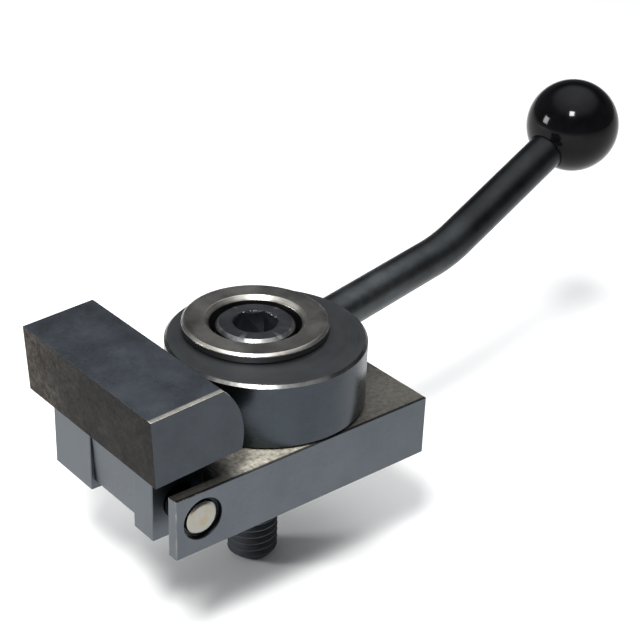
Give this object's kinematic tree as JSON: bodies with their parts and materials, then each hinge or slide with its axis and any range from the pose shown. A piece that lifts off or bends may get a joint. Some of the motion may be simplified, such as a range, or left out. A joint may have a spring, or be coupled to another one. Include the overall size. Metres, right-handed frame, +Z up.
{
  "type": "cam lever edge clamp",
  "caption": "Cam-lever edge clamp, ordered as a quick change tool post: a lever turns an eccentric disc that swings a hinged jaw outward over a slotted steel base.",
  "frame": {"origin": "on the clamp screw's axis, at the level of the base's underside", "axes": "+X from the jaw end towards the lever, +Y across the base, +Z up along the clamp screw"},
  "size_m": [0.1742, 0.0513, 0.101],
  "materials": {
    "blackened_steel": "ground and black oxided",
    "jaw_steel": "black oxided, matt",
    "polished_steel": "polished",
    "spring_steel": "drawn wire",
    "ground_steel": "turned, worn oxide",
    "screw_steel": "black oxided",
    "cam_steel": "turned and black oxided",
    "lever_steel": "black oxided, oiled",
    "knob_phenolic": "moulded and polished",
    "insert_brass": "turned"
  },
  "bodies": {
    "base": {"base_block": "blackened_steel", "pivot_pin": "polished_steel", "hub_bushing": "ground_steel", "clamp_screw": "screw_steel", "return_spring": "spring_steel"},
    "jaw": {"swing_jaw": "jaw_steel"},
    "cam_lever": {"cam_disc": "cam_steel", "lever_rod": "lever_steel", "ball_knob": "knob_phenolic", "knob_insert": "insert_brass"},
    "plunger": {"spring_plunger": "spring_steel"}
  },
  "joints": [
    {"name": "lever_turn", "type": "hinge", "parent": "base", "child": "cam_lever", "pos_m": [0, 0, 0.024], "axis": [0, 0, -1], "range_deg": [-45, 45]},
    {"name": "jaw_tilt", "type": "hinge", "parent": "base", "child": "jaw", "pos_m": [-0.0354, 0, 0.0085], "axis": [0, -1, 0], "range_deg": [-9.8, 9.8]},
    {"name": "plunger_slide", "type": "slide", "parent": "base", "child": "plunger", "axis": [1, 0, 0], "range_m": [-0.00086, 0.00086], "deforming": ["return_spring"]}
  ],
  "couplings": [
    {"joint": "jaw_tilt", "follows": "lever_turn", "ratio": 0.2167},
    {"joint": "plunger_slide", "follows": "lever_turn", "m_per_rad": 0.001082}
  ]
}
